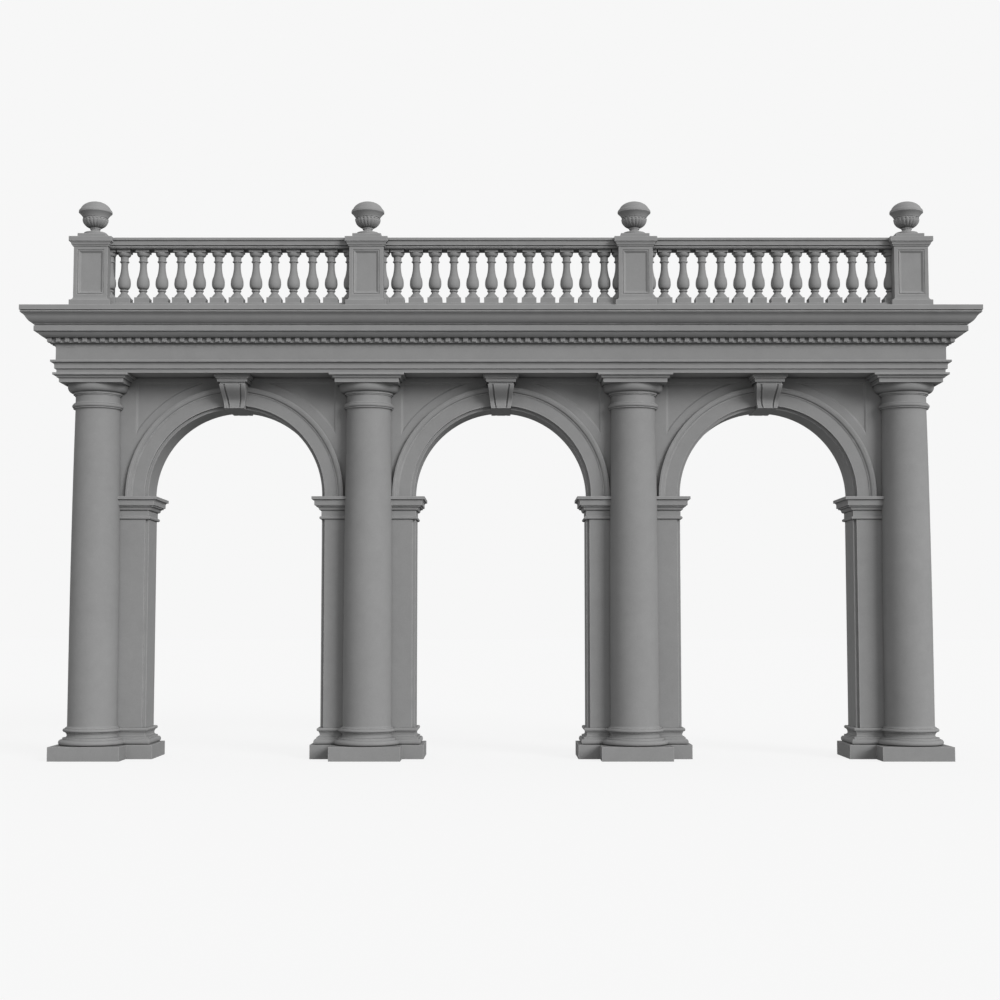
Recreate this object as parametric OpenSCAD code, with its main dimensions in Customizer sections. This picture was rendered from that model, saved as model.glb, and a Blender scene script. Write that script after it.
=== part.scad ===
// Colonnade: a free-standing arcade screen of three round arches.
// Four engaged Tuscan columns on piers carry an entablature, and a balustrade
// with four pedestals and urns stands on it.
// Millimetres. X runs along the screen, Y from front to back, Z up.
// The origin is on the ground, in the middle of the whole footprint box.

/* [Bays] */
// Distance from pier line to pier line
bay = 3600; // [3400:50:3700]
// Extra distance of each end column outside its pier line
end_shift = 60; // [0:10:120]
// How far the inner piers stand inside their pier lines
inner_shift = 11; // [0:1:25]
// Distance of the end wall face outside the axis of an end column
end_wall_out = 170; // [100:10:220]

/* [Wall and piers] */
// Thickness of the wall between its faces' rebates
wall_depth = 520; // [400:10:700]
// Half the width of a pier
pier_half = 635; // [600:5:760]
// How far the dressed faces stand in front of the rebate
face_proj = 40; // [20:5:60]
// Width of the rebate beside each dressed face
rebate = 40; // [20:5:60]

/* [Base] */
// Height of the plinth blocks
plinth_h = 187; // [120:1:220]
// Projection of the plinth block from the pier faces
pier_plinth_out = 124; // [105:1:150]
// How far the square plinth under a column stands outside its lower torus
column_plinth_margin = 33; // [4:1:50]
// Height of the lower torus
lower_torus_h = 74; // [60:2:100]
// Height of the scotia with its two fillets
scotia_h = 102; // [80:2:140]
// Height of the upper torus
upper_torus_h = 44; // [40:2:70]
// Share of the column's base projection that the pier's base has
pier_base_share = 0.71; // [0.6:0.01:0.9]

/* [Columns] */
// Distance of the column axis in front of the wall's rebate face
column_offset = 90; // [60:5:160]
// Radius of the shaft at its foot
shaft_r = 326; // [300:1:360]
// Radius of the shaft under its astragal
neck_r = 296; // [260:1:300]
// Height of the capital, from the astragal to the top of the abacus
capital_h = 430; // [400:1:480]
// Half the side of the abacus face
abacus_half = 425; // [400:5:440]

/* [Arches] */
// Height of the impost's top face
impost_top = 3507; // [3200:1:3550]
// Height of the impost block with its neck and astragal
impost_h = 305; // [260:5:340]
// Projection of the impost's top fillet from the pier faces
impost_out = 126; // [90:1:150]
// Height of the arch centre above the impost
stilt = 25; // [10:5:90]
// Radial width of the archivolt
archivolt_w = 255; // [200:5:270]
// Projection of the archivolt's fascia from the wall face
archivolt_proj = 20; // [10:2:40]
// Projection of the keystone's shoulders in front of the wall face
key_proj = 330; // [240:5:380]
// Projection of the keystone's shoulders at the back of the wall
key_proj_back = 84; // [74:2:88]
// Width of the keystone under its cap
key_top_w = 350; // [320:10:420]
// Width of the keystone at its lower end
key_bottom_w = 264; // [220:4:300]
// Depth of the sunk spandrel panels
panel_depth = 18; // [8:2:30]
// Width of the sloping edge of those panels
panel_slope = 24; // [10:2:40]
// Width of the plain border between a spandrel panel and its archivolt
panel_border = 135; // [100:5:190]
// Height of the plain border above a spandrel panel
panel_top = 80; // [50:5:110]
// Distance of a panel's upright edge from the pier line
panel_edge = 470; // [400:10:520]

/* [Entablature] */
// Height of plain wall between an archivolt's top and the architrave
crown_gap = 122; // [80:1:400]
// Overhang of the entablature beyond the column axes, front and ends
frieze_over = 464; // [455:1:490]
// Overhang of the entablature beyond the back face of the wall
back_over = 150; // [146:2:200]
// Height of the architrave
architrave_h = 165; // [150:1:220]
// Height of the frieze
frieze_h = 175; // [140:1:240]
// Height of the bed moulding and dentils
dentil_course_h = 113; // [90:1:150]
// Height of the cornice above the dentils
cornice_h = 388; // [340:1:440]
// Projection of the cornice from the frieze
cornice_proj = 390; // [380:5:460]
// Distance from dentil to dentil
dentil_pitch = 117.4; // [100:0.2:140]
// Width of one dentil
dentil_w = 60; // [40:2:70]

/* [Balustrade] */
// Height of the kerb under the balusters
kerb_h = 104; // [80:2:140]
// Half the depth of the kerb
kerb_half = 200; // [180:5:220]
// Height of a baluster
baluster_h = 750; // [650:2:850]
// Greatest radius of a baluster
belly_r = 86; // [70:1:95]
// Half the side of a baluster's square foot
baluster_foot_half = 98; // [90:1:110]
// Distance from baluster to baluster
baluster_pitch = 253.5; // [235:0.5:320]
// Distance of the first whole baluster from the pedestal on its left
row_start = 176; // [160:1:240]
// Height of the handrail
rail_h = 135; // [110:5:170]
// Half the depth of the handrail
rail_half = 190; // [160:5:210]
// Half the side of a pedestal's die
die_half = 228; // [210:2:260]
// How far each end pedestal stands outside the column below it
pedestal_shift = 22; // [0:2:40]
// Projection of the pedestal's cap and base from its die
pedestal_out = 57; // [50:1:80]
// Width of the plain border round a pedestal's panel
die_border = 50; // [35:1:60]
// Depth of the sunk panel in a pedestal's face
die_panel_depth = 28; // [14:2:36]
// Width of the sloping edge of that panel
die_panel_slope = 32; // [10:2:60]
// Width of the narrow channel round that panel
die_channel = 14; // [8:1:16]

/* [Urns] */
// Height of an urn with its square foot
urn_h = 532; // [480:2:600]
// Half the side of the urn's square foot
urn_foot_half = 192; // [180:2:215]
// Radius of the urn's lid
lid_r = 222; // [200:2:240]
// Radius of the urn's bowl
bowl_r = 172; // [140:2:180]

/* [Hidden] */
$fn = 96;
stone = "#8c8c8c";
BIG = 20000;

// Levels, from the ground up
base_h = plinth_h + lower_torus_h + scotia_h + upper_torus_h;
impost_z = impost_top - impost_h;
spring_z = impost_top + stilt;
arch_r = bay / 2 + inner_shift - pier_half;
face_r = arch_r + rebate;
archivolt_r = face_r + archivolt_w;
soffit_z = spring_z + archivolt_r + crown_gap;
capital_z = soffit_z - capital_h;
frieze_z = soffit_z + architrave_h;
dentil_z = frieze_z + frieze_h;
cornice_z = dentil_z + dentil_course_h;
deck_z = cornice_z + cornice_h;
baluster_z = deck_z + kerb_h;
rail_z = baluster_z + baluster_h;
rail_top = rail_z + rail_h;

// Planes, from front to back
total_depth = column_offset + frieze_over + wall_depth + face_proj + back_over + 2 * cornice_proj;
frieze_front = cornice_proj - total_depth / 2;
frieze_back = total_depth / 2 - cornice_proj;
column_y = frieze_front + frieze_over;
rebate_front = column_y + column_offset;
rebate_back = rebate_front + wall_depth;
face_front = rebate_front - face_proj;
face_back = rebate_back + face_proj;
balustrade_y = frieze_front + die_half;

// Lines along the screen
end_line = 1.5 * bay;
end_column_x = end_line + end_shift;
end_wall_x = end_column_x + end_wall_out;
frieze_end = end_column_x + frieze_over;
inner_x = bay / 2 - inner_shift;
column_x = [-end_column_x, -inner_x, inner_x, end_column_x];
pedestal_x = [-end_column_x - pedestal_shift, -bay / 2, bay / 2, end_column_x + pedestal_shift];
bay_x = [-bay, 0, bay];
// Left and right face of each pier
pier_left = [-end_wall_x, -inner_x - pier_half, inner_x - pier_half, end_line - pier_half];
pier_right = [-end_line + pier_half, -inner_x + pier_half, inner_x + pier_half, end_wall_x];
// Left and right joint of each spandrel wall
wall_left = [-end_wall_x, -inner_x, inner_x];
wall_right = [-inner_x, inner_x, end_wall_x];

// Archivolts and keystones
archivolt_fillet = 42;
archivolt_band = 88;
key_bottom_z = spring_z + arch_r - 11;
key_cap_h = 125;
key_cap_out = 61;
key_rib = 50;
key_channel = 26;
key_channel_depth = 20;
key_lip_h = 12;
key_waist = 0.4;
key_flare = 0.08;

// Projections of the Attic base from the foot of the shaft
lower_torus_out = 112;
lower_fillet_out = 60;
scotia_waist_out = 3;
upper_fillet_out = 22;
upper_torus_out = 57;
base_fillet = 12;
column_plinth_half = shaft_r + lower_torus_out + column_plinth_margin;

// Fillets and flares at the two ends of the shaft
foot_out = 25;
foot_fillet = 13;
foot_flare = 26;
head_out = 28;
head_fillet = 10;
head_flare = 24;

// Parts of the courses above
abacus_h = 120;
abacus_over = 33;
corona_out = 236;
band_out = 62;
dentil_out = 36;
dentil_h = 55;
die_base_h = 179;
die_cap_h = 133;
die_panel_margin = 36;
die_channel_depth = 10;
baluster_foot_h = 95;
baluster_abacus_h = 38;
end_baluster_inset = 16;
urn_plate_h = 62;

// ---- profile helpers: every profile is a list of [projection, height] ----

function arc(cx, cz, rx, rz, from, to, n = 6) =
    [for (i = [0:n]) let (a = from + (to - from) * i / n) [cx + rx * cos(a), cz + rz * sin(a)]];

// A convex half round from z up to z + h whose nose reaches out
function torus(out, z, h) = arc(out - h / 2, z + h / 2, h / 2, h / 2, -90, 90, 8);

// A concave hollow from z up to z + h between two projections
function scotia(low, high, waist, z, h) = concat(
    arc(low, z + h * 0.4, low - waist, h * 0.4, -90, -180, 5),
    arc(high, z + h * 0.4, high - waist, h * 0.6, 180, 90, 5));

// An S-curve that swells at its foot and hollows at its top
function cyma_recta(low, high, z, h) = concat(
    arc(low, z + h / 2, (high - low) / 2, h / 2, -90, 0, 5),
    arc(high, z + h / 2, (high - low) / 2, h / 2, 180, 90, 5));

// An S-shaped curve between two points that is upright at both ends
function swell(x0, z0, x1, z1, n = 10) =
    [for (i = [0:n]) let (t = i / n) [x0 + (x1 - x0) * (1 - cos(180 * t)) / 2, z0 + (z1 - z0) * t]];

// A quarter hollow
function cavetto(low, high, z, h) = arc(high, z, high - low, h, 180, 90, 6);

// A shallow curve between two points that bulges by the given rise, or hollows
function bow(x0, z0, x1, z1, rise, n = 6) = let (length = norm([x1 - x0, z1 - z0]))
    [for (i = [0:n]) let (t = i / n, b = 4 * rise * t * (1 - t) / length)
        [x0 + (x1 - x0) * t + b * (z1 - z0), z0 + (z1 - z0) * t - b * (x1 - x0)]];

// Plan or section of a sinking with sloping edges, cut from the plane y = face
function sinking(low, high, face, depth, slope) = [
    [low, face - 1], [high, face - 1], [high, face], [high - slope, face + depth],
    [low + slope, face + depth], [low, face]];

// A profile drawn upwards from zero, stretched to stand on z and be h high
function fitted(profile, z, h) = let (top = profile[len(profile) - 1][1])
    [for (p = profile) [p[0], z + p[1] * h / top]];

// A profile pushed outwards, and one with its projections reduced
function moved(profile, out) = [for (p = profile) [p[0] + out, p[1]]];
function scaled(profile, share) = [for (p = profile) [p[0] * share, p[1]]];

// The profile on both sides of a block, as one closed outline
function both_sides(profile, half) = concat(
    [for (p = profile) [half + p[0], p[1]]],
    [for (i = [len(profile) - 1:-1:0]) [-half - profile[i][0], profile[i][1]]]);

// A rectangular block whose four sides carry the same mitred profile
module mitred_block(half_x, half_y, profile) {
    intersection() {
        rotate([90, 0, 0])
            linear_extrude(BIG, center = true) polygon(both_sides(profile, half_x));
        rotate([90, 0, 90])
            linear_extrude(BIG, center = true) polygon(both_sides(profile, half_y));
    }
}

// The same block laid between two corners
module mitred_between(x0, x1, y0, y1, profile) {
    translate([(x0 + x1) / 2, (y0 + y1) / 2, 0])
        mitred_block((x1 - x0) / 2, (y1 - y0) / 2, profile);
}

// A turned piece: the profile is revolved round the Z axis
module turned(profile) {
    last = len(profile) - 1;
    rotate_extrude()
        polygon(concat([[0, profile[0][1]]], profile, [[0, profile[last][1]]]));
}

module box_between(x0, x1, y0, y1, z0, z1) {
    translate([x0, y0, z0]) cube([x1 - x0, y1 - y0, z1 - z0]);
}

// ---- columns and piers ----

// Attic base above its plinth, measured from the foot of the shaft
function base_mouldings() = let (
        fillet_z = plinth_h + lower_torus_h,
        upper_z = base_h - upper_torus_h)
    concat(
        torus(lower_torus_out, plinth_h, lower_torus_h),
        [[lower_fillet_out, fillet_z], [lower_fillet_out, fillet_z + 2 * base_fillet]],
        scotia(lower_fillet_out - 2, upper_fillet_out, scotia_waist_out,
            fillet_z + 2 * base_fillet, scotia_h - 3 * base_fillet),
        [[upper_fillet_out, upper_z]],
        torus(upper_torus_out, upper_z, upper_torus_h));

// Radius of the tapering shaft, with t from 0 at its foot to 1 at its neck
function shaft_radius(t) = shaft_r - (shaft_r - neck_r) * pow(t, 2.6);

function shaft_profile() = let (
        low = base_h + foot_fillet + foot_flare,
        high = capital_z - head_fillet - head_flare,
        steps = 10)
    concat(
        [[shaft_r + foot_out, base_h], [shaft_r + foot_out, base_h + foot_fillet]],
        arc(shaft_r + foot_out, low, foot_out, foot_flare, -90, -180, 5),
        [for (i = [1:steps]) [shaft_radius(i / steps), low + (high - low) * i / steps]],
        arc(neck_r + head_out, high, head_out, head_flare, 180, 90, 4),
        [[neck_r + head_out, capital_z]]);

// Astragal, neck, annulets and echinus, measured from the neck of the shaft
function capital_profile() = concat(
    torus(44, 0, 54),
    [[24, 54], [24, 61], [8, 68], [2, 78], [0, 90], [0, 163], [13, 165], [13, 178], [30, 180], [30, 203]],
    arc(36, 288, abacus_half - neck_r - 60, 82, -90, 0, 8),
    [[abacus_half - neck_r - 24, 310]]);

// Abacus face and its moulded crown, measured from the abacus face
function abacus_profile() = let (crown = frieze_over + abacus_over - abacus_half)
    concat([[0, 0], [0, 50]], cyma_recta(6, crown - 20, 52, 38), [[crown, 92], [crown, 120]]);

// Astragal, neck, cyma, fillet, fascia, cavetto and top fillet of an impost
function impost_profile() = concat(
    torus(28, 0, 43),
    [[3, 44], [3, 118]],
    cyma_recta(8, impost_out - 64, 120, 50),
    [[impost_out - 56, 172], [impost_out - 56, 188], [impost_out - 35, 190], [impost_out - 35, 242]],
    cavetto(impost_out - 33, impost_out - 6, 244, 22),
    [[impost_out, 267], [impost_out, 305]]);

// The solid mass that a column is engaged in
module pier_mass(i, z0, z1) {
    union() {
        box_between(pier_left[i], pier_right[i], rebate_front, rebate_back, z0, z1);
        box_between(pier_left[i] + rebate, pier_right[i] - rebate, face_front, face_back, z0, z1);
    }
}

module whole_shaft(i) {
    translate([column_x[i], column_y, 0]) turned(shaft_profile());
}

// Plinth and Attic base of one pier and its column, in one course
module base(i) {
    color(stone) union() {
        mitred_between(pier_left[i], pier_right[i], face_front, face_back,
            concat([[pier_plinth_out, 0], [pier_plinth_out, plinth_h]],
                scaled(base_mouldings(), pier_base_share)));
        translate([column_x[i], column_y, 0]) {
            translate([-column_plinth_half, -column_plinth_half, 0])
                cube([2 * column_plinth_half, 2 * column_plinth_half, plinth_h]);
            turned(moved(base_mouldings(), shaft_r));
        }
    }
}

module pier(i) {
    color(stone) pier_mass(i, base_h, impost_z);
}

module column_shaft(i) {
    color(stone) difference() {
        whole_shaft(i);
        pier_mass(i, 0, soffit_z);
    }
}

module capital(i) {
    abacus_z = soffit_z - abacus_h;
    color(stone) difference() {
        translate([column_x[i], column_y, 0]) {
            turned(fitted(moved(capital_profile(), neck_r), capital_z, abacus_z - capital_z));
            mitred_block(abacus_half, abacus_half, fitted(abacus_profile(), abacus_z, abacus_h));
        }
        pier_mass(i, 0, soffit_z);
    }
}

module impost(i) {
    color(stone) difference() {
        mitred_between(pier_left[i], pier_right[i], face_front, face_back,
            fitted(impost_profile(), impost_z, impost_h));
        whole_shaft(i);
    }
}

// ---- arches ----

// Everything inside the arch of the given radius, down past the impost
module arch_void(i, r, y0, y1) {
    translate([bay_x[i], y1, spring_z]) rotate([90, 0, 0]) cylinder(h = y1 - y0, r = r);
    box_between(bay_x[i] - r, bay_x[i] + r, y0, y1, impost_z, spring_z);
}

// The two three-cornered panels over one arch, cut backwards from the plane y = 0
module spandrel_panels() {
    half = bay / 2 - panel_edge + panel_slope;
    top = soffit_z - panel_top + panel_slope;
    key_half = key_top_w / 2 + key_cap_out + face_proj;
    inner_r = archivolt_r + panel_border - panel_slope;
    difference() {
        intersection() {
            linear_extrude(BIG) polygon(sinking(-half, half, 0, panel_depth, panel_slope));
            rotate([0, -90, 0]) linear_extrude(BIG, center = true)
                polygon(sinking(spring_z, top, 0, panel_depth, panel_slope));
        }
        translate([0, 0, spring_z]) rotate([-90, 0, 0]) {
            cylinder(h = panel_depth, r1 = inner_r, r2 = inner_r + panel_slope, $fn = 180);
            cylinder(h = 4, r = inner_r, center = true, $fn = 180);
        }
        box_between(-key_half, key_half, -2, panel_depth + 2, spring_z, top + 1);
    }
}

// Wall over one arch, from the imposts to the architrave
module spandrel_wall(i) {
    left_rebate = i == 0 ? rebate : 0;
    right_rebate = i == 2 ? rebate : 0;
    color(stone) difference() {
        union() {
            box_between(wall_left[i], wall_right[i], rebate_front, rebate_back, impost_top, soffit_z);
            box_between(wall_left[i] + left_rebate, wall_right[i] - right_rebate,
                face_front, face_back, impost_top, soffit_z);
        }
        arch_void(i, arch_r, face_front - 10, face_back + 10);
        arch_void(i, face_r, face_front - 10, rebate_front);
        arch_void(i, face_r, rebate_back, face_back + 10);
        translate([bay_x[i], face_front, 0]) spandrel_panels();
        translate([bay_x[i], face_back, 0]) mirror([0, 1, 0]) spandrel_panels();
        keystone_core(i);
    }
}

// Section of the archivolt: radius and projection from the wall face
function archivolt_section() = let (
        p = archivolt_proj, r = archivolt_r, fillet = p + archivolt_fillet, band = r - archivolt_band)
    concat(
        [[face_r, 0], [face_r, p], [band, p], [band, p + 10], [band + 14, p + 10]],
        arc(r - 32, p + 12, 40, archivolt_fillet - 16, 180, 90, 5),
        [[r - 30, fillet], [r - 4, fillet], [r, fillet - 4], [r, 0]]);

// One face of an archivolt, lying on the plane z = 0 with its front up
module archivolt_ring() {
    intersection() {
        rotate_extrude($fn = 180) polygon(archivolt_section());
        translate([-BIG / 2, 0, 0]) cube([BIG, BIG, BIG]);
    }
    for (side = [0, 1])
        mirror([side, 0, 0]) rotate([90, 0, 0])
            linear_extrude(stilt) polygon(archivolt_section());
}

module archivolt(i) {
    color(stone) difference() {
        union() {
            translate([bay_x[i], face_front, spring_z]) rotate([90, 0, 0]) archivolt_ring();
            translate([bay_x[i], face_back, spring_z])
                mirror([0, 1, 0]) rotate([90, 0, 0]) archivolt_ring();
        }
        keystone_pair(i, false);
        whole_shaft(i);
        whole_shaft(i + 1);
    }
}

// Cap of a keystone, measured from the keystone's own faces
function key_cap_profile() = concat(
    [[-8, 0], [-8, 26], [24, 28], [24, 68]],
    cyma_recta(28, key_cap_out - 4, 70, 24),
    [[key_cap_out, 97], [key_cap_out, key_cap_h]]);

// Side view of a keystone: a console that hollows downwards and flares to a lip
function key_side(proj, z0, z1) = let (
        waist = max(key_waist * proj, archivolt_proj + archivolt_fillet + 8),
        lip = waist + key_flare * proj,
        waist_z = z0 + 0.22 * (z1 - z0))
    concat(
        [[0, z0], [lip, z0]],
        arc(lip, waist_z, lip - waist, waist_z - z0 - key_lip_h, -90, -170, 6),
        swell(waist, waist_z, proj, z1),
        [[0, z1]]);

// Front view of a keystone, tapering downwards, with its sides moved inwards
module key_front(inset, z0, z1) {
    bottom = key_bottom_w / 2 - inset;
    top = key_top_w / 2 - inset;
    rotate([90, 0, 0]) linear_extrude(BIG)
        polygon([[-bottom, z0], [bottom, z0], [top, z1], [-top, z1]]);
}

// The side view carried across, over the plane y = 0 and in front of it
module key_console(proj, z0, z1) {
    rotate([90, 0, -90]) linear_extrude(BIG, center = true) polygon(key_side(proj, z0, z1));
}

// One keystone face with two channels, standing on the plane y = 0
module keystone_face(proj, channelled) {
    top_z = soffit_z - key_cap_h;
    difference() {
        intersection() {
            key_console(proj, key_bottom_z, top_z);
            key_front(0, key_bottom_z, top_z);
        }
        if (channelled) difference() {
            key_front(key_rib, key_bottom_z - 1, top_z);
            key_front(key_rib + key_channel, key_bottom_z - 2, top_z + 1);
            translate([0, key_channel_depth, 0]) key_console(proj, key_bottom_z, top_z);
        }
    }
    intersection() {
        mitred_block(key_top_w / 2, proj, fitted(key_cap_profile(), top_z, key_cap_h));
        translate([-BIG / 2, -BIG, 0]) cube([BIG, BIG, BIG]);
    }
}

// The two faces of one keystone, with or without their channels
module keystone_pair(i, channelled) {
    translate([bay_x[i], face_front, 0]) keystone_face(key_proj, channelled);
    translate([bay_x[i], face_back, 0]) mirror([0, 1, 0]) keystone_face(key_proj_back, channelled);
}

// The part of a keystone inside the wall, as high as the archivolt
module keystone_core(i) {
    top_z = spring_z + archivolt_r;
    intersection() {
        translate([bay_x[i], face_back, 0]) key_front(0, key_bottom_z, soffit_z - key_cap_h);
        box_between(-BIG, BIG, face_front, face_back, key_bottom_z, top_z);
    }
}

module keystone(i) {
    color(stone) union() {
        keystone_pair(i, true);
        keystone_core(i);
    }
}

// ---- entablature ----

// One course round all four sides, its profile measured from the frieze face
module entablature_course(profile) {
    color(stone) mitred_between(-frieze_end, frieze_end, frieze_front, frieze_back, profile);
}

// Two fasciae, a cavetto and a fillet
function architrave_profile() = concat(
    [[-10, 0], [-10, 50], [14, 52], [14, 102]],
    cavetto(16, 50, 104, 31),
    [[58, 137], [58, 165]]);

module architrave() {
    entablature_course(fitted(architrave_profile(), soffit_z, architrave_h));
}

module frieze() {
    entablature_course([[0, frieze_z], [0, dentil_z]]);
}

// A row of dentils along one face, centred on the origin and reaching to y = 0
module dentil_row(length) {
    count = floor((length - dentil_w) / dentil_pitch);
    for (k = [0:count])
        translate([(k - count / 2) * dentil_pitch - dentil_w / 2, 0, 0])
            cube([dentil_w, 1.4 * dentil_out, dentil_h]);
}

// Bed moulding and the band that the dentils stand on
function bed_profile() = concat(
    [[4, 0], [4, 22]],
    cavetto(4, band_out - 10, 22, 26),
    [[band_out, 50], [band_out, 113]]);

module dentil_course() {
    tooth_face = band_out + dentil_out;
    depth = frieze_back - frieze_front;
    entablature_course(fitted(bed_profile(), dentil_z, dentil_course_h));
    color(stone) for (turn = [0, 180])
        rotate([0, 0, turn]) translate([0, 0, cornice_z - dentil_h]) {
            translate([0, -depth / 2 - tooth_face, 0])
                dentil_row(2 * (frieze_end + tooth_face));
            rotate([0, 0, 90]) translate([0, -frieze_end - tooth_face, 0])
                dentil_row(depth + 2 * band_out);
        }
}

// Bed mouldings, corona, fillet, great cyma, bead and top fascia
function cornice_profile() = let (top = cornice_proj, middle = (corona_out + top) / 2 + 5) concat(
    [[130, 0]],
    bow(134, 3, 192, 46, 5),
    [[196, 50], [196, 64], [corona_out, 68], [corona_out, 138],
     [corona_out - 16, 140], [corona_out - 16, 150], [corona_out + 2, 152], [corona_out + 2, 163]],
    bow(corona_out + 16, 166, middle, 229, 6),
    bow(middle + 2, 232, top - 14, 288, -7),
    [[top - 26, 291]],
    torus(top - 7, 292, 22),
    [[top - 26, 315], [top - 26, 320], [top, 322], [top, 388]]);

module cornice() {
    entablature_course(fitted(cornice_profile(), cornice_z, cornice_h));
}

// ---- balustrade ----

// Left and right pedestal face of the gap over each bay
function gap_left(i) = pedestal_x[i] + die_half;
function gap_right(i) = pedestal_x[i + 1] - die_half;

// A straight length between two pedestals, its profile measured from its faces
module between_pedestals(i, half_y, profile) {
    x0 = gap_left(i);
    translate([x0, balustrade_y, 0]) rotate([90, 0, 90])
        linear_extrude(gap_right(i) - x0) polygon(both_sides(profile, half_y));
}

// Bead, fascia, hollow and top fillet of the handrail
function rail_profile() = concat(
    [[-52, 0], [-52, 6]],
    torus(-36, 6, 18),
    [[-50, 26], [-50, 38], [-26, 40], [-26, 82]],
    cavetto(-24, -4, 84, 18),
    [[0, 104], [0, 135]]);

// Kerb and handrail, three lengths of each
module balustrade_rails() {
    color(stone) for (i = [0:2]) difference() {
        union() {
            between_pedestals(i, kerb_half, [[0, deck_z], [0, baluster_z]]);
            between_pedestals(i, rail_half, fitted(rail_profile(), rail_z, rail_h));
        }
        pedestal_mass(i);
        pedestal_mass(i + 1);
    }
}

// Splayed foot, ring, belly, narrow neck, astragal and echinus of a baluster
function baluster_profile() = let (r = belly_r) concat(
    [[r * 1.1, 0], [r * 0.56, 62], [r * 0.52, 66], [r * 0.52, 81]],
    torus(r * 0.68, 85, 30),
    arc(r * 0.55, 197, r * 0.45, 74, -80, 0, 5),
    arc(r * 0.55, 197, r * 0.45, 110, 15, 60, 3),
    [[r * 0.62, 345], [r * 0.54, 405], [r * 0.52, 455], [r * 0.56, 485]],
    torus(r * 0.74, 487, 20),
    [[r * 0.6, 511], [r * 0.62, 561]],
    arc(r * 0.66, 613, r * 0.36, 48, -90, 0, 4),
    [[r, 617]]);

// A square block centred on the Z axis
module square_block(half, z, h) {
    translate([-half, -half, z]) cube([2 * half, 2 * half, h]);
}

module baluster() {
    turned_h = baluster_h - baluster_foot_h - baluster_abacus_h;
    square_block(baluster_foot_half, baluster_z, baluster_foot_h);
    turned(fitted(baluster_profile(), baluster_z + baluster_foot_h, turned_h));
    square_block(belly_r + 4, rail_z - baluster_abacus_h, baluster_abacus_h);
}

// The whole balusters of one bay, and one cut by the pedestal at each end
module balusters(i) {
    x0 = gap_left(i);
    x1 = gap_right(i);
    room = 2 * baluster_foot_half + 3;
    last = floor((x1 - x0 - row_start - baluster_foot_half) / baluster_pitch);
    last_x = x0 + row_start + last * baluster_pitch;
    cut_left = x0 - max(end_baluster_inset, room - row_start);
    cut_right = max(last_x + room, min(last_x + baluster_pitch, x1 + end_baluster_inset));
    color(stone) translate([0, balustrade_y, 0]) {
        for (k = [0:last])
            translate([x0 + row_start + k * baluster_pitch, 0, 0]) baluster();
        difference() {
            for (x = [cut_left, cut_right]) translate([x, 0, 0]) baluster();
            for (k = [i, i + 1]) translate([0, -balustrade_y, 0]) pedestal_mass(k);
        }
    }
}

// Base block, hollow, die, fillet, ovolo, fillet and top fascia, measured from the die
function pedestal_profile() = let (low = deck_z + die_base_h, cap = rail_top - die_cap_h) concat(
    [[pedestal_out - 12, deck_z], [pedestal_out - 12, low - 47]],
    arc(pedestal_out - 16, low, pedestal_out - 16, 43, -90, -180, 5),
    [[0, cap + 2], [17, cap + 10], [17, cap + 22]],
    cyma_recta(20, pedestal_out - 14, cap + 24, 34),
    [[pedestal_out - 11, cap + 60], [pedestal_out - 11, cap + 68],
     [pedestal_out, cap + 70], [pedestal_out, rail_top]]);

module pedestal_mass(i) {
    translate([pedestal_x[i], balustrade_y, 0])
        mitred_block(die_half, die_half, pedestal_profile());
}

// The sunk panel of a die with its channel, cut into the face that looks along -Y
module die_panel() {
    half = die_half - die_border;
    low = deck_z + die_base_h + die_panel_margin;
    high = rail_top - die_cap_h - die_panel_margin;
    inner = half - die_channel;
    cut_y = die_channel_depth - die_half;
    difference() {
        box_between(-half, half, -BIG, cut_y, low, high);
        box_between(-inner, inner, -2 * BIG, 0, low + die_channel, high - die_channel);
    }
    intersection() {
        linear_extrude(BIG, center = true)
            polygon(sinking(-inner, inner, -die_half, die_panel_depth, die_panel_slope));
        rotate([0, -90, 0]) linear_extrude(BIG, center = true)
            polygon(sinking(low + die_channel, high - die_channel,
                -die_half, die_panel_depth, die_panel_slope));
    }
}

// A pedestal has panels on its front and back, and on its end where it is free
module pedestal(i) {
    turns = i == 0 ? [0, 180, 270] : i == 3 ? [0, 180, 90] : [0, 180];
    color(stone) difference() {
        pedestal_mass(i);
        translate([pedestal_x[i], balustrade_y, 0])
            for (turn = turns) rotate([0, 0, turn]) die_panel();
    }
}

// ---- urns ----

// Foot, stem, bowl, groove, neck, flare, rim, shoulder and dome
function urn_profile() = let (bowl_z = 223, neck_z = 246, rim_z = 316, r = bowl_r) concat(
    [[150, 0], [150, 40]],
    arc(146, 81, 85, 38, -90, -180, 5),
    [[61, 89]],
    arc(0, bowl_z, r, 128, -69, 0, 8),
    [[r, bowl_z + 5], [r - 12, neck_z - 10], [r - 12, neck_z - 4], [r - 5, neck_z]],
    bow(r - 5, neck_z + 15, lid_r - 3, rim_z - 2, -3, 4),
    [[lid_r, rim_z], [lid_r, rim_z + 20], [lid_r - 10, rim_z + 40]],
    arc(0, rim_z + 18, lid_r - 17, 136, 14, 90, 9));

module urn(i) {
    color(stone) translate([pedestal_x[i], balustrade_y, 0]) {
        square_block(urn_foot_half, rail_top, urn_plate_h);
        turned(fitted(urn_profile(), rail_top + urn_plate_h, urn_h - urn_plate_h));
    }
}

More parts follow.
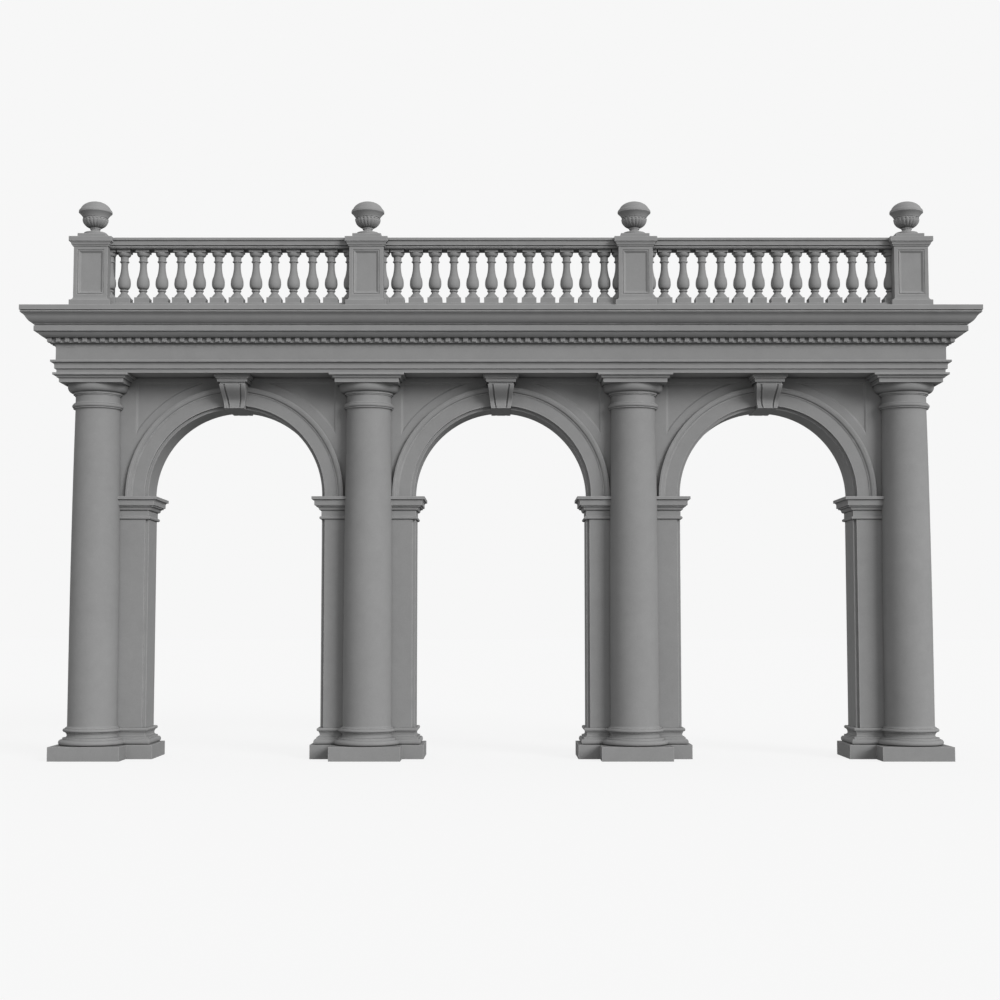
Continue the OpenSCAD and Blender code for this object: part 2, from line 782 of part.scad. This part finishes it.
base(0);  // base_1
base(1);  // base_2
base(2);  // base_3
base(3);  // base_4
pier(0);  // pier_1
pier(1);  // pier_2
pier(2);  // pier_3
pier(3);  // pier_4
column_shaft(0);  // column_shaft_1
column_shaft(1);  // column_shaft_2
column_shaft(2);  // column_shaft_3
column_shaft(3);  // column_shaft_4
capital(0);  // capital_1
capital(1);  // capital_2
capital(2);  // capital_3
capital(3);  // capital_4
impost(0);  // impost_1
impost(1);  // impost_2
impost(2);  // impost_3
impost(3);  // impost_4
spandrel_wall(0);  // spandrel_wall_1
spandrel_wall(1);  // spandrel_wall_2
spandrel_wall(2);  // spandrel_wall_3
archivolt(0);  // archivolt_1
archivolt(1);  // archivolt_2
archivolt(2);  // archivolt_3
keystone(0);  // keystone_1
keystone(1);  // keystone_2
keystone(2);  // keystone_3
architrave();
frieze();
dentil_course();
cornice();
balustrade_rails();
balusters(0);  // balusters_1
balusters(1);  // balusters_2
balusters(2);  // balusters_3
pedestal(0);  // pedestal_1
pedestal(1);  // pedestal_2
pedestal(2);  // pedestal_3
pedestal(3);  // pedestal_4
urn(0);  // urn_1
urn(1);  // urn_2
urn(2);  // urn_3
urn(3);  // urn_4
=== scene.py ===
"""Looks of the colonnade: plain grey stone, soft studio light, seen from the front."""
import math

import bmesh
import bpy
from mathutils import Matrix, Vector


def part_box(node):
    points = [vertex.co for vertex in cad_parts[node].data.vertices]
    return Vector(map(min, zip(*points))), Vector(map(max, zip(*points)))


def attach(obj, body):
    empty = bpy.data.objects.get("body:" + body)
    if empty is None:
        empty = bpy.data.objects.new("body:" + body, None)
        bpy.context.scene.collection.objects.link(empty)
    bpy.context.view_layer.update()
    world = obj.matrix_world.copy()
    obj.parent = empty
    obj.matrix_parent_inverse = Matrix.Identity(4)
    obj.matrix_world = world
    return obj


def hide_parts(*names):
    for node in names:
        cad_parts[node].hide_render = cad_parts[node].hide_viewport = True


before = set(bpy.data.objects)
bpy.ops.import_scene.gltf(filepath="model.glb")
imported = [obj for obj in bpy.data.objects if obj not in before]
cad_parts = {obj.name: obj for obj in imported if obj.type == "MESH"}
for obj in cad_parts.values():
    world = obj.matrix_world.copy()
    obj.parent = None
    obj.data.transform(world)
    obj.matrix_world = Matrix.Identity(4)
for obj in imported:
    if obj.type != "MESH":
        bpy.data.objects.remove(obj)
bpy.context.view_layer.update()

# Camera: its height, its distance from the wall face, and how far it looks up
EYE_HEIGHT = 1.780
EYE_DISTANCE = 22.253
EYE_SIDE = -0.013
LOOK_UP = math.radians(4.330)
LENS_MM = 59.4
SENSOR_MM = 36.0

# Light
PAPER = 0.93
WORLD_LIGHT = 0.66
FLOOR_BOUNCE = 0.26
# The floor as the camera sees it: its own glow, and the share that takes the shadow
FLOOR_GLOW = 0.83
FLOOR_SHADE = 0.115
# Each soft light: name, strength, height above the horizon, turn to the right, softness
SOFT_LIGHTS = [("key_light", 2.15, 20.5, 41, 26), ("side_light", 0.12, 30, 95, 60)]

# Stone: its grey, how dark the painted shade in grooves gets, and how near other stone that shade
# starts
STONE_GREY = 0.265
PAINTED_GROOVE_SHADE = 0.55
PAINTED_GROOVE_REACH = 0.06
# How much of the tone the painted shade leaves on sheltered undersides, and how near other stone they
# lie
PAINTED_UNDERSIDE_SHADE = 0.38
PAINTED_UNDERSIDE_REACH = 0.25
# How wide the painted highlight along arrises is, and how much paler than the rest
HIGHLIGHT_EDGE_WIDTH = 0.016
EDGE_HIGHLIGHT_LIGHTER = 0.5
# Sizes of the stone's markings, as noise scales per metre
CLOUD_SCALE = 1.1
PATCH_SCALE = 7.0
GRAIN_SCALE = 90.0
SAND_SCALE = 420.0
PIT_SCALE = 70.0
# Depth of the relief that the grain and pits give (metres), and its strength
RELIEF_DEPTH = 0.0015
RELIEF_STRENGTH = 0.35
GLOSS = 0.25

# Edges of CAD nodes sharper than this (degrees) are eased by this much (metres)
SHARP_FROM = 32
EASED_EDGE = 0.004
# Points closer than this are one point
SAME_POINT = 0.0001
# Edges of turned pieces sharper than this (degrees) stay crisp
CRISP_FROM = 35

# The floor's length and width, and how far the camera sees
FLOOR_SIZE = 400
FAR_PLANE = 200

# Balusters: their spacing, their sizes and how the outline is turned
BALUSTER_PITCH = 0.2535
ROW_START = 0.176
FIRST_INSET = 0.023
LAST_INSET = 0.016
FOOT_HALF = 0.098
FOOT_HEIGHT = 0.095
BELLY = 0.086
CAP_HEIGHT = 0.038
DIE_HALF = 0.228
# The turned part's nominal height, which its outline is drawn for
TURNED_HEIGHT = 0.617
# How far the square cap stands outside the belly
CAP_MARGIN = 0.004
BALUSTER_SIDES = 40
BLOCK_CHAMFER = 0.003

# Urns
PLATE_HEIGHT = 0.062
PLATE_HALF = 0.192
PLATE_CHAMFER = 0.004
BOWL = 0.172
RIM = 0.222
# The gadroons lie between these heights above the plate
GADROON_LOW = 0.100
GADROON_HIGH = 0.226
GADROONS = 20
GADROON_DEPTH = 0.014
URN_SIDES = 160


def arc(x, z, rx, rz, start, end, steps=6):
    """Points on an ellipse round (x, z), with angles in degrees."""
    angles = [math.radians(start + (end - start) * k / steps) for k in range(steps + 1)]
    return [(x + rx * math.cos(a), z + rz * math.sin(a)) for a in angles]


def bead(nose, z, height, steps=8):
    """A half round that stands on z."""
    half = height / 2
    return arc(nose - half, z + half, half, half, -90, 90, steps)


def bow(start, end, rise, steps=8):
    """A shallow curve between two points that bulges outwards by the rise."""
    dx, dz = end[0] - start[0], end[1] - start[1]
    length = math.hypot(dx, dz)
    points = []
    for k in range(steps + 1):
        t = k / steps
        bulge = 4 * rise * t * (1 - t) / length
        points.append((start[0] + dx * t + bulge * dz, start[1] + dz * t - bulge * dx))
    return points


def turn(mesh, centre, outline, sides, lobes=None):
    """Revolve an outline of (radius, height) round the vertical through the centre."""
    rings = []
    for radius, height in outline:
        ring = []
        for k in range(sides):
            angle = 2 * math.pi * k / sides
            r = radius - (lobes(radius, height, angle) if lobes else 0)
            place = (r * math.cos(angle), r * math.sin(angle), height)
            ring.append(mesh.verts.new(Vector(place) + centre))
        rings.append(ring)
    for low, high in zip(rings, rings[1:]):
        for k in range(sides):
            n = (k + 1) % sides
            mesh.faces.new((low[k], low[n], high[n], high[k])).smooth = True
    mesh.faces.new(list(reversed(rings[0])))
    mesh.faces.new(rings[-1])


def square_block(mesh, centre, half, low, high, edge):
    """A square block with its edges eased by a narrow chamfer."""
    levels = [(half - edge, low), (half, low + edge), (half, high - edge), (half - edge, high)]
    rings = []
    for reach, z in levels:
        corner = half - edge
        spots = [(corner, reach), (-corner, reach), (-reach, corner), (-reach, -corner),
                 (-corner, -reach), (corner, -reach), (reach, -corner), (reach, corner)]
        rings.append([mesh.verts.new(centre + Vector((x, y, z))) for x, y in spots])
    for below, above in zip(rings, rings[1:]):
        for k in range(8):
            n = (k + 1) % 8
            mesh.faces.new((below[k], below[n], above[n], above[k]))
    mesh.faces.new(list(reversed(rings[0])))
    mesh.faces.new(rings[-1])


def add_piece(name, mesh, node, material):
    """Make the mesh a piece of the scene that stands in for a CAD node."""
    bmesh.ops.recalc_face_normals(mesh, faces=mesh.faces)
    data = bpy.data.meshes.new(name)
    mesh.to_mesh(data)
    mesh.free()
    data.set_sharp_from_angle(angle=math.radians(CRISP_FROM))
    data.materials.append(material)
    piece = bpy.data.objects.new(name, data)
    bpy.context.scene.collection.objects.link(piece)
    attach(piece, "root")
    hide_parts(node)


def baluster_outline(z, height):
    """Splayed foot, ring, belly, long neck, collar, and the swelling under the cap."""
    r = BELLY
    unit = height / TURNED_HEIGHT
    shape = (
        bow((r * 1.1, 0), (r * 0.56, 0.062), 0.002)
        + [(r * 0.52, 0.066), (r * 0.52, 0.081)]
        + bead(r * 0.68, 0.085, 0.030)
        + arc(r * 0.55, 0.197, r * 0.45, 0.074, -80, 0, 8)
        + arc(r * 0.55, 0.197, r * 0.45, 0.110, 10, 60, 6)
        + [(r * 0.70, 0.318), (r * 0.62, 0.352), (r * 0.56, 0.390), (r * 0.53, 0.430),
           (r * 0.525, 0.460), (r * 0.56, 0.485)]
        + bead(r * 0.74, 0.487, 0.020)
        + [(r * 0.60, 0.511), (r * 0.62, 0.561)]
        + arc(r * 0.66, 0.613, r * 0.36, 0.048, -90, 0, 8)
        + [(r, TURNED_HEIGHT)]
    )
    return [(x, z + y * unit) for x, y in shape]


def balusters(number, material):
    """One row: whole balusters, and one let into the pedestal at each end."""
    low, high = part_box("balusters_%d" % number)
    left_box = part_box("pedestal_%d" % number)
    right_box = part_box("pedestal_%d" % (number + 1))
    left = (left_box[0].x + left_box[1].x) / 2 + DIE_HALF
    right = (right_box[0].x + right_box[1].x) / 2 - DIE_HALF
    middle_y = (left_box[0].y + left_box[1].y) / 2
    count = int((right - left - ROW_START - FOOT_HALF) / BALUSTER_PITCH) + 1
    places = [left + ROW_START + k * BALUSTER_PITCH for k in range(count)]
    after = min(places[-1] + BALUSTER_PITCH, right + LAST_INSET)
    places = [left - FIRST_INSET] + places + [after]
    mesh = bmesh.new()
    foot_top = low.z + FOOT_HEIGHT
    cap_foot = high.z - CAP_HEIGHT
    for x in places:
        centre = Vector((x, middle_y, 0))
        square_block(mesh, centre, FOOT_HALF, low.z, foot_top, BLOCK_CHAMFER)
        turn(mesh, centre, baluster_outline(foot_top, cap_foot - foot_top), BALUSTER_SIDES)
        square_block(mesh, centre, BELLY + CAP_MARGIN, cap_foot, high.z, BLOCK_CHAMFER)
    add_piece("baluster_row_%d" % number, mesh, "balusters_%d" % number, material)


def urn_outline(z):
    """Foot, stem, gadrooned bowl, groove, neck, flare, rim, shoulder and dome."""
    r = BOWL
    shape = (
        [(0.146, 0), (0.150, 0.003), (0.150, 0.038)]
        + arc(0.146, 0.081, 0.085, 0.040, -90, -180, 8)
        + [(0.061, 0.089), (0.070, 0.091), (0.070, 0.098)]
        + arc(0, 0.223, r, 0.128, -66, 0, 22)
        + [(r, 0.226), (r - 0.004, 0.232), (r - 0.014, 0.236), (r - 0.014, 0.242), (r - 0.006, 0.246)]
        + bow((r - 0.005, 0.250), (RIM - 0.003, 0.313), -0.004)
        + [(RIM, 0.316), (RIM, 0.334), (RIM - 0.004, 0.346), (RIM - 0.012, 0.356)]
        + arc(0, 0.334, RIM - 0.017, 0.136, 13, 90, 20)[:-1]
        + [(0.002, 0.470)]
    )
    return [(x, z + y) for x, y in shape]


def urn(number, material):
    """One covered urn on its square plate."""
    low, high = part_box("urn_%d" % number)
    centre = Vector(((low.x + high.x) / 2, (low.y + high.y) / 2, 0))
    plate_top = low.z + PLATE_HEIGHT
    bowl_low, bowl_high = plate_top + GADROON_LOW, plate_top + GADROON_HIGH

    def gadroons(radius, height, angle):
        """How far the bowl is hollowed at a height and an angle."""
        if not bowl_low < height < bowl_high:
            return 0
        along = (height - bowl_low) / (bowl_high - bowl_low)
        fade = math.sin(math.pi * min(1, along * 1.15)) ** 0.5 if along < 0.87 else 1
        wave = 1 - abs(math.sin(GADROONS * angle / 2))
        return GADROON_DEPTH * wave * fade * min(1, 4 * along)

    mesh = bmesh.new()
    square_block(mesh, centre, PLATE_HALF, low.z, plate_top, PLATE_CHAMFER)
    turn(mesh, centre, urn_outline(plate_top), URN_SIDES, gadroons)
    add_piece("covered_urn_%d" % number, mesh, "urn_%d" % number, material)


def add_node(tree, kind, **values):
    """A shader node with the given properties, or inputs where the name is an input."""
    node = tree.nodes.new(kind)
    for name, value in values.items():
        label = name.replace("_", " ")
        if label in node.inputs:
            node.inputs[label].default_value = value
        else:
            setattr(node, name, value)
    return node


def noise(tree, place, scale, detail, roughness=0.6):
    """Noise between 0 and 1, in the object's own metres."""
    texture = add_node(tree, "ShaderNodeTexNoise", Scale=scale, Detail=detail, Roughness=roughness)
    tree.links.new(place, texture.inputs["Vector"])
    return texture.outputs["Fac"]


def spread(tree, value, from_low, from_high, to_low, to_high):
    """The value carried from one range to another, and held within it."""
    node = add_node(tree, "ShaderNodeMapRange", clamp=True)
    for name, number in (("From Min", from_low), ("From Max", from_high),
                         ("To Min", to_low), ("To Max", to_high)):
        node.inputs[name].default_value = number
    tree.links.new(value, node.inputs["Value"])
    return node.outputs["Result"]


def combine(tree, operation, first, second):
    """A math node on two values, each a socket or a number."""
    node = add_node(tree, "ShaderNodeMath", operation=operation)
    for socket, value in zip(node.inputs, (first, second)):
        if isinstance(value, (int, float)):
            socket.default_value = value
        else:
            tree.links.new(value, socket)
    return node.outputs[0]


def painted_groove_shade(tree):
    """Painted shade: 1 on open faces, less in grooves and under ledges near other stone."""
    closeness = add_node(tree, "ShaderNodeAmbientOcclusion", Distance=PAINTED_GROOVE_REACH, samples=6)
    return spread(tree, closeness.outputs["AO"], 0.08, 0.55, PAINTED_GROOVE_SHADE, 1.0)


def painted_underside_shade(tree):
    """Painted shade: 1 on upright and upward faces, less on sheltered undersides that face down."""
    surface = add_node(tree, "ShaderNodeNewGeometry")
    parts = add_node(tree, "ShaderNodeSeparateXYZ")
    tree.links.new(surface.outputs["Normal"], parts.inputs[0])
    looks_down = spread(tree, parts.outputs["Z"], -0.97, -0.45, 1.0, 0.0)
    shelter = add_node(tree, "ShaderNodeAmbientOcclusion", Distance=PAINTED_UNDERSIDE_REACH, samples=4)
    sheltered = spread(tree, shelter.outputs["AO"], 0.6, 0.97, 1.0, 0.0)
    shade_amount = combine(tree, "MULTIPLY", looks_down, sheltered)
    return spread(tree, shade_amount, 0.0, 1.0, 1.0, PAINTED_UNDERSIDE_SHADE)


def painted_edge_highlight(tree, grain):
    """Painted highlight: 0 on flat faces, up to 1 along arrises, where the stone is made paler."""
    eased = add_node(tree, "ShaderNodeBevel", Radius=HIGHLIGHT_EDGE_WIDTH, samples=4)
    surface = add_node(tree, "ShaderNodeNewGeometry")
    dot = add_node(tree, "ShaderNodeVectorMath", operation="DOT_PRODUCT")
    tree.links.new(eased.outputs["Normal"], dot.inputs[0])
    tree.links.new(surface.outputs["Normal"], dot.inputs[1])
    turned = spread(tree, dot.outputs["Value"], 0.995, 0.86, 0.0, 1.0)
    return combine(tree, "MULTIPLY", turned, spread(tree, grain, 0.3, 0.6, 0.55, 1.0))


def grey_stone():
    """Dressed grey stone: soft clouding, fine grain and pits, painted shade in grooves and under
    ledges, painted highlights on arrises.
    """
    material = bpy.data.materials.new("grey_stone")
    material.use_nodes = True
    tree = material.node_tree
    shader = tree.nodes["Principled BSDF"]
    place = add_node(tree, "ShaderNodeTexCoord").outputs["Object"]
    clouds = noise(tree, place, CLOUD_SCALE, 4)
    patches = noise(tree, place, PATCH_SCALE, 5)
    grain = noise(tree, place, GRAIN_SCALE, 3, 0.7)
    sand = noise(tree, place, SAND_SCALE, 2, 0.7)
    pits = add_node(tree, "ShaderNodeTexVoronoi", Scale=PIT_SCALE)
    tree.links.new(place, pits.inputs["Vector"])
    pitted = spread(tree, pits.outputs["Distance"], 0.05, 0.22, 0.0, 1.0)

    tone = spread(tree, clouds, 0.3, 0.7, 0.965, 1.035)
    tone = combine(tree, "MULTIPLY", tone, spread(tree, patches, 0.3, 0.7, 0.97, 1.03))
    tone = combine(tree, "MULTIPLY", tone, spread(tree, grain, 0.3, 0.7, 0.95, 1.05))
    tone = combine(tree, "MULTIPLY", tone, spread(tree, pitted, 0.0, 1.0, 0.93, 1.0))
    # Painted shade in grooves and crevices, where other stone is near
    tone = combine(tree, "MULTIPLY", tone, painted_groove_shade(tree))
    # Painted shade on sheltered undersides that face down
    tone = combine(tree, "MULTIPLY", tone, painted_underside_shade(tree))
    # Painted highlight along arrises, paler than the rest of the stone
    highlight_amount = combine(tree, "MULTIPLY", painted_edge_highlight(tree, patches), EDGE_HIGHLIGHT_LIGHTER)
    tone = combine(tree, "MULTIPLY", tone, combine(tree, "ADD", highlight_amount, 1.0))
    tone = combine(tree, "MULTIPLY", tone, STONE_GREY)
    colour = add_node(tree, "ShaderNodeCombineColor")
    for channel in colour.inputs:
        tree.links.new(tone, channel)
    tree.links.new(colour.outputs["Color"], shader.inputs["Base Color"])

    rough = spread(tree, grain, 0.3, 0.7, 0.72, 0.9)
    tree.links.new(rough, shader.inputs["Roughness"])
    shader.inputs["Specular IOR Level"].default_value = GLOSS

    height = combine(tree, "MULTIPLY", sand, 0.35)
    height = combine(tree, "ADD", height, combine(tree, "MULTIPLY", grain, 0.8))
    height = combine(tree, "ADD", height, combine(tree, "MULTIPLY", pitted, 0.5))
    bump = add_node(tree, "ShaderNodeBump", Strength=RELIEF_STRENGTH, Distance=RELIEF_DEPTH)
    tree.links.new(height, bump.inputs["Height"])
    tree.links.new(bump.outputs["Normal"], shader.inputs["Normal"])
    return material


def add_camera():
    """The camera, level with a standing eye and tilted up a little."""
    wall_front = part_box("spandrel_wall_2")[0].y
    data = bpy.data.cameras.new("camera")
    data.lens = LENS_MM
    data.sensor_width = SENSOR_MM
    data.clip_end = FAR_PLANE
    camera = bpy.data.objects.new("camera", data)
    camera.location = (EYE_SIDE, wall_front - EYE_DISTANCE, EYE_HEIGHT)
    camera.rotation_euler = (math.pi / 2 + LOOK_UP, 0, 0)
    bpy.context.scene.collection.objects.link(camera)
    bpy.context.scene.camera = camera


def add_light():
    """The soft lights and the pale surroundings, which the camera sees as paper."""
    for name, strength, height, turn_right, softness in SOFT_LIGHTS:
        data = bpy.data.lights.new(name, "SUN")
        data.energy = strength
        data.angle = math.radians(softness)
        light = bpy.data.objects.new(name, data)
        light.rotation_euler = (math.radians(90 - height), 0, math.radians(turn_right))
        bpy.context.scene.collection.objects.link(light)
    world = bpy.data.worlds.new("studio")
    world.use_nodes = True
    tree = world.node_tree
    background = tree.nodes["Background"]
    light_path = tree.nodes.new("ShaderNodeLightPath")
    mix = tree.nodes.new("ShaderNodeMix")
    mix.data_type = "RGBA"
    mix.inputs["A"].default_value = (WORLD_LIGHT, WORLD_LIGHT, WORLD_LIGHT, 1)
    mix.inputs["B"].default_value = (PAPER, PAPER, PAPER, 1)
    tree.links.new(light_path.outputs["Is Camera Ray"], mix.inputs["Factor"])
    tree.links.new(mix.outputs["Result"], background.inputs["Color"])
    bpy.context.scene.world = world


def pale_floor():
    """Paper-white to the camera, with the object's shadow; a plain matt grey to the stone."""
    material = bpy.data.materials.new("pale_floor")
    material.use_nodes = True
    tree = material.node_tree
    shader = tree.nodes["Principled BSDF"]
    shader.inputs["Base Color"].default_value = (FLOOR_BOUNCE, FLOOR_BOUNCE, FLOOR_BOUNCE, 1)
    shader.inputs["Roughness"].default_value = 1
    glow = add_node(tree, "ShaderNodeEmission", Color=(FLOOR_GLOW, FLOOR_GLOW, FLOOR_GLOW, 1))
    lit = add_node(tree, "ShaderNodeBsdfDiffuse", Color=(FLOOR_SHADE, FLOOR_SHADE, FLOOR_SHADE, 1))
    seen = add_node(tree, "ShaderNodeAddShader")
    tree.links.new(glow.outputs[0], seen.inputs[0])
    tree.links.new(lit.outputs[0], seen.inputs[1])
    light_path = tree.nodes.new("ShaderNodeLightPath")
    mix = tree.nodes.new("ShaderNodeMixShader")
    tree.links.new(light_path.outputs["Is Camera Ray"], mix.inputs[0])
    tree.links.new(shader.outputs[0], mix.inputs[1])
    tree.links.new(seen.outputs[0], mix.inputs[2])
    tree.links.new(mix.outputs[0], tree.nodes["Material Output"].inputs["Surface"])
    return material


def add_floor():
    """A level floor under the colonnade, which is no part of it."""
    bpy.ops.mesh.primitive_plane_add(size=FLOOR_SIZE, location=(0, 0, 0))
    floor = bpy.context.object
    floor.name = "floor"
    floor.data.materials.append(pale_floor())


def rounding():
    """A node group that shades a mesh smooth, apart from edges sharper than the limit."""
    group = bpy.data.node_groups.new("rounding", "GeometryNodeTree")
    group.interface.new_socket("Geometry", in_out="INPUT", socket_type="NodeSocketGeometry")
    group.interface.new_socket("Geometry", in_out="OUTPUT", socket_type="NodeSocketGeometry")
    bare = add_node(group, "GeometryNodeRemoveAttribute", Name="custom_normal")
    faces = add_node(group, "GeometryNodeSetShadeSmooth", domain="FACE", Shade_Smooth=True)
    edges = add_node(group, "GeometryNodeSetShadeSmooth", domain="EDGE")
    angle = add_node(group, "GeometryNodeInputMeshEdgeAngle")
    gentle = add_node(group, "FunctionNodeCompare", operation="LESS_THAN", data_type="FLOAT")
    gentle.inputs["B"].default_value = math.radians(SHARP_FROM)
    path = [add_node(group, "NodeGroupInput"), bare, faces, edges, add_node(group, "NodeGroupOutput")]
    for before, after in zip(path, path[1:]):
        group.links.new(before.outputs[0], after.inputs[0])
    group.links.new(angle.outputs["Unsigned Angle"], gentle.inputs["A"])
    group.links.new(gentle.outputs["Result"], edges.inputs["Shade Smooth"])
    return group


def dress(node, material, rounding_group):
    """Ease a CAD node's arrises, shade its curves smooth, and give it its stone."""
    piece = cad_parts[node]
    piece.material_slots[0].material = material
    weld = piece.modifiers.new("weld", "WELD")
    weld.merge_threshold = SAME_POINT
    bevel = piece.modifiers.new("eased_edges", "BEVEL")
    bevel.width = EASED_EDGE
    bevel.segments = 2
    bevel.limit_method = "ANGLE"
    bevel.angle_limit = math.radians(SHARP_FROM)
    bevel.use_clamp_overlap = True
    smooth = piece.modifiers.new("rounding", "NODES")
    smooth.node_group = rounding_group
    weighted = piece.modifiers.new("flat_faces", "WEIGHTED_NORMAL")
    weighted.keep_sharp = True


STONE = grey_stone()
for number in (1, 2, 3):
    balusters(number, STONE)
for number in (1, 2, 3, 4):
    urn(number, STONE)
ROUNDING = rounding()
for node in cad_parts:
    dress(node, STONE, ROUNDING)
add_floor()
add_light()
add_camera()
bpy.context.scene.view_settings.view_transform = "Standard"
